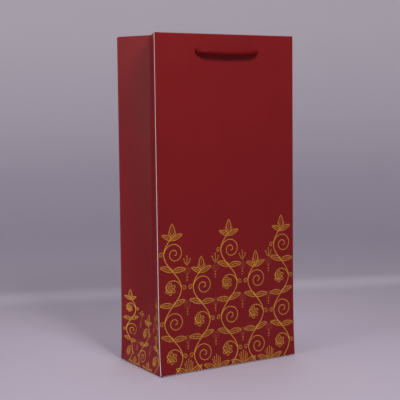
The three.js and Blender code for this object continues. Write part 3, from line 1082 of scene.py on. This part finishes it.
def placed(shape, base, heading, size):
    """Turns a shape drawn from (0, 0) up to (0, 1) to its base, heading and size."""
    c = math.cos(math.radians(heading - 90))
    s = math.sin(math.radians(heading - 90))
    return [(base[0] + size * (u * c - v * s), base[1] + size * (u * s + v * c)) for u, v in shape]


def curl(art, centre, radius, start, turn, turns=1.6, width=1.2):
    """A tendril that winds inwards from an angle on its outer circle; turn is 1 to the left, -1 right."""
    count = max(18, int(radius * turns * 5))
    line = []
    for k in range(count + 1):
        angle = math.radians(start) + turn * 2 * math.pi * turns * k / count
        reach = radius * (1 - 0.9 * (k / count) ** 0.85)
        line.append((centre[0] + reach * math.cos(angle), centre[1] + reach * math.sin(angle)))
    art.append((line, width))


def leaf(art, base, heading, length, bend=0.12, veins=4):
    """A plain pointed leaf: two edges, a rib and veins in pairs."""
    rib = smooth_line(placed([(0, 0), (bend * 0.3, 0.35), (bend, 0.7), (bend * 1.9, 1)], base, heading, length))
    count = len(rib) - 1
    edges = ([], [])
    for k, (x, z) in enumerate(rib):
        before = rib[max(0, k - 1)]
        after = rib[min(count, k + 1)]
        size = max(math.dist(before, after), 0.01)
        across = (-(after[1] - before[1]) / size, (after[0] - before[0]) / size)
        reach = 0.17 * length * math.sin(math.pi * (k / count) ** 0.8) ** 0.85
        edges[0].append((x + across[0] * reach, z + across[1] * reach))
        edges[1].append((x - across[0] * reach, z - across[1] * reach))
    art.append((edges[0], 1.15))
    art.append((edges[1], 1.15))
    art.append((rib, 0.75))
    for k in range(1, veins + 1):
        start = int(count * (0.1 + 0.7 * k / (veins + 1)))
        end = min(count, start + max(1, count // 8))
        for edge in edges:
            art.append(([rib[start], edge[end]], 0.6))


def dot(art, centre, radius):
    art.append(([(centre[0] + radius * math.cos(0.9 * k), centre[1] + radius * math.sin(0.9 * k))
                 for k in range(8)], 1.0))


def round_flower(art, centre, radius, petals=6):
    """A plain flower seen from above: rounded petals, each with a vein, round a small eye."""
    dot(art, centre, radius * 0.16)
    for k in range(petals):
        heading = 90 + 360 * k / petals
        petal = [(0, 0.28), (-0.21, 0.52), (-0.25, 0.8), (0, 1), (0.25, 0.8), (0.21, 0.52), (0, 0.28)]
        art.append((smooth_line(placed(petal, centre, heading, radius)), 1.05))
        art.append((placed([(0, 0.42), (0, 0.8)], centre, heading, radius), 0.6))


def bud(art, base, heading, size):
    """A closed bud with a vein, held in two short sepals."""
    for sign in (-1, 1):
        petal = [(0, 0.08), (sign * 0.17, 0.28), (sign * 0.19, 0.6), (0, 1)]
        sepal = [(0, 0), (sign * 0.2, 0.08), (sign * 0.3, 0.26), (sign * 0.28, 0.46)]
        art.append((smooth_line(placed(petal, base, heading, size)), 1.2))
        art.append((smooth_line(placed(sepal, base, heading, size)), 1.0))
    art.append((placed([(0, 0.25), (0, 0.8)], base, heading, size), 0.6))


def spray(art, base, heading, size, rays=5, spread=80):
    """A fan of short stalks with dots at their ends."""
    for k in range(rays):
        lean = heading + spread * (k / (rays - 1) - 0.5)
        reach = size * (1 - 0.2 * abs(2 * k / (rays - 1) - 1))
        curve = 0.1 * (2 * k / (rays - 1) - 1)
        art.append((smooth_line(placed([(0, 0), (-curve, 0.5), (0, 1)], base, lean, reach)), 1.0))
        dot(art, placed([(0, 1)], base, lean, reach)[0], 0.5)


def rosette(faint, centre, radius):
    """A pale round flower that stands behind the vines."""
    for share in (0.28, 0.6):
        faint.append(([(centre[0] + share * radius * math.cos(0.35 * k),
                        centre[1] + share * radius * math.sin(0.35 * k)) for k in range(19)], 0.6))
    edge = []
    for k in range(61):
        turn = 2 * math.pi * k / 60
        scallop = radius * (0.94 + 0.06 * math.cos(12 * turn))
        edge.append((centre[0] + scallop * math.cos(turn), centre[1] + scallop * math.sin(turn)))
    faint.append((edge, 0.6))


def waving_vine(art, foot_x, side, bends, rise, flower_first):
    """A vine that sways to one side and the other as it rises. In the hollow of each bend a tendril
    winds up, or goes round a flower, and a small one curls outwards. Leaves stand in pairs between
    the bends, and a bud ends the vine."""
    sway = 0.28 * rise
    outer = 0.34 * rise
    small = 0.09 * rise
    height = bends * rise
    stem(art, [(foot_x - 0.3 * side * sway, -2.0)]
         + [(foot_x + side * sway * math.sin(math.pi * k / 6), rise * k / 6) for k in range(6 * bends + 1)], 1.55)
    for k in range(bends):
        bend_side = side * (-1) ** k
        middle = (k + 0.5) * rise
        centre = (foot_x + bend_side * (sway - outer), middle)
        inner_start, outer_start = (0, 180) if bend_side > 0 else (180, 0)
        if (k % 2 == 0) == flower_first:
            curl(art, centre, outer, inner_start, bend_side, 0.86, 1.3)
            round_flower(art, (centre[0] - 0.06 * bend_side * outer, middle), 0.52 * outer)
        else:
            curl(art, centre, outer, inner_start, bend_side, 1.75, 1.3)
        curl(art, (foot_x + bend_side * (sway + small), middle), small, outer_start, -bend_side, 1.35, 1.0)
        if k < bends - 1:
            for way in (-1, 1):
                lean = 58 if way == bend_side else 72
                leaf(art, (foot_x, middle + 0.5 * rise), 90 + way * lean, 0.42 * rise, -way * 0.12)
    for way in (-1, 1):
        leaf(art, (foot_x, height - 0.1 * rise), 90 + way * 52, 0.36 * rise, -way * 0.12)
    bud(art, (foot_x, height), 90, 0.38 * rise)


def vine_row(places, rise):
    """A row of vines, each given by where it stands and its number of bends. Neighbours sway opposite
    ways, with grasses between them at the foot and dots and pale rosettes higher up."""
    art = []
    faint = []
    for number, (foot_x, bends) in enumerate(places):
        waving_vine(art, foot_x, 1 - 2 * (number % 2), bends, rise, number % 2 == 0)
    for (left_x, left_bends), (right_x, right_bends) in zip(places, places[1:]):
        between = (left_x + right_x) / 2
        shorter = min(left_bends, right_bends)
        spray(art, (between, -1.5), 90, 0.44 * rise, 5, 44)
        for way in (-1, 1):
            leaf(art, (between + way * 0.06 * rise, -1.5), 90 - way * 46, 0.42 * rise, way * 0.14)
        for k in range(shorter):
            rosette(faint, (between, (k + 1) * rise), 0.11 * rise)
            for step, radius in ((-0.08, 0.5), (0.0, 0.75), (0.08, 0.5)):
                dot(art, (between, (k + 0.8 + step) * rise), radius)
        spray(art, (between, (shorter + 0.15) * rise), 90, 0.26 * rise, 3, 60)
    return art, faint


def front_drawing():
    """The print on the front and back: x from -90 to 90 across the panel, z up from its foot."""
    return vine_row([(-72, 4), (-36, 3), (0, 4), (36, 3), (72, 4)], 38.0)


def side_drawing():
    """The print on a side: x runs from -48 at the rear to 48 at the front, seen from outside."""
    return vine_row([(-31, 3), (0, 2), (31, 3)], 25.0)


def ink_lines(name, drawing, place, keep):
    """Lays the drawing's lines on a surface as thin domed ribbons. place(x, z, lift) is a point of
    the surface, raised by lift, and keep(x, z) says whether a point of the drawing falls on it."""
    mesh = bmesh.new()
    dome = 0.00005
    slender = 0.47
    for number, (line, width) in enumerate(drawing):
        fine = [line[0]]
        for start, end in zip(line, line[1:]):
            count = max(1, int(math.dist(start, end) / 1.6))
            fine += [(start[0] + (end[0] - start[0]) * k / count, start[1] + (end[1] - start[1]) * k / count)
                     for k in range(1, count + 1)]
        layer = 0.00002 + 0.000003 * (number % 9)
        last = len(fine) - 1
        before = None
        for k, (x, z) in enumerate(fine):
            if not keep(x / 1000, z / 1000):
                before = None
                continue
            back = fine[max(0, k - 1)]
            ahead = fine[min(last, k + 1)]
            size = max(math.dist(back, ahead), 1e-6)
            taper = min(1.0, 0.45 + 0.22 * min(k, last - k))
            half = slender * width * taper / 2
            side_x = -(ahead[1] - back[1]) / size * half
            side_z = (ahead[0] - back[0]) / size * half
            here = [mesh.verts.new(place((x + s * side_x) / 1000, (z + s * side_z) / 1000, layer + lift))
                    for s, lift in ((1, 0.0), (0, dome), (-1, 0.0))]
            if before:
                for j in (0, 1):
                    made = mesh.faces.new((before[j], before[j + 1], here[j + 1], here[j]))
                    made.smooth = True
            before = here
    data = bpy.data.meshes.new(name)
    mesh.to_mesh(data)
    mesh.free()
    return add_piece(name, data)


print_margin = 0.0009
front_art, front_faint = front_drawing()
side_art, side_faint = side_drawing()


def on_panel(facing):
    def place(x, z, lift):
        held = max(-half_width + 0.0004, min(half_width - 0.0004, x))
        return (-facing * held, facing * (face_out(held, max(z, 0.0)) + lift), max(z, 0.0003))
    return place


def panel_keeps(x, z):
    return abs(x) < half_width - print_margin and z > print_margin


def on_side(side):
    def place(x, z, lift):
        z = max(z, 0.0004)
        if abs(x) <= foot_reach(z):
            inwards = foot_in(z) + crease_round(z, foot_rounding)
        else:
            corner = half_depth(z) - rounding
            along = (corner - abs(x)) / (corner - foot_reach(z))
            inwards = side_point(max(0.0, along), z)[0]
        return (side * (half_width - inwards + lift * 1.2), side * x, z)
    return place


def side_keeps(side, part):
    """Whether a point of the side's drawing falls on its foot, its front half or its back half."""
    def keep(x, z):
        if z < print_margin or abs(x) > half_depth(z) - print_margin:
            return False
        if part == "foot":
            return abs(x) <= foot_reach(z) - 0.0003
        return abs(x) > foot_reach(z) + 0.0003 and z > 0.003 and (side * x > 0) == (part == "back")
    return keep


for face, facing in (("front", -1), ("back", 1)):
    for name, art, ink in (("print", front_art, gold_ink), ("pale_print", front_faint, pale_gold_ink)):
        lines = ink_lines(f"{face}_{name}", art, on_panel(facing), panel_keeps)
        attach(finish_piece(lines, ink), face)
for side_name, side in (("left", -1), ("right", 1)):
    for name, art, ink in (("print", side_art, gold_ink), ("pale_print", side_faint, pale_gold_ink)):
        for part in ("foot", "front", "back"):
            lines = ink_lines(f"{side_name}_{part}_{name}", art, on_side(side), side_keeps(side, part))
            if not lines.data.vertices:
                bpy.data.objects.remove(lines)
                continue
            finish_piece(lines, ink)
            if part == "foot":
                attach(lines, "base")
            else:
                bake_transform(lines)
